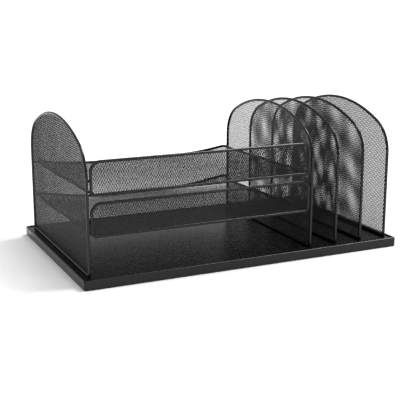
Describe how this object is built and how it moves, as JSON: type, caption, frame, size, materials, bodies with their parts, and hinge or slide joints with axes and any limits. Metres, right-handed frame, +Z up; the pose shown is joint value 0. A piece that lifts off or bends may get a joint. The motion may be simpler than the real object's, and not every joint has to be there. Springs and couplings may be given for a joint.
{
  "type": "desk organizer",
  "caption": "Wire-mesh desk organizer with stacked paper trays beside arched upright dividers, welded onto a flat folded sheet-metal base with rubber feet.",
  "frame": {"origin": "middle of the footprint, on the surface the feet stand on", "axes": "+X to the right along the long side, from the trays towards the dividers; +Y to the back, away from the tray lips; +Z up"},
  "size_m": [0.49, 0.3, 0.212],
  "materials": {
    "base": "satin powder coat",
    "wire": "satin powder coat",
    "mesh": "satin powder coat on expanded steel mesh",
    "weld": "satin powder coat",
    "foot": "matte"
  },
  "bodies": {
    "root": {"base_platform": "base", "foot_pads": "foot", "end_panel_frame": "wire", "end_panel_rail": "wire", "end_panel_mesh": "mesh", "divider_1_frame": "wire", "divider_1_rail": "wire", "divider_1_mesh": "mesh", "divider_2_frame": "wire", "divider_2_rail": "wire", "divider_2_mesh": "mesh", "divider_3_frame": "wire", "divider_3_rail": "wire", "divider_3_mesh": "mesh", "divider_4_frame": "wire", "divider_4_rail": "wire", "divider_4_mesh": "mesh", "tray_lower_lip_frame": "wire", "tray_lower_lip_mesh": "mesh", "tray_lower_floor_frame": "wire", "tray_lower_floor_mesh": "mesh", "tray_upper_lip_frame": "wire", "tray_upper_lip_mesh": "mesh", "tray_upper_floor_frame": "wire", "tray_upper_floor_mesh": "mesh", "tray_welds": "weld", "rail_welds": "weld"}
  },
  "joints": []
}
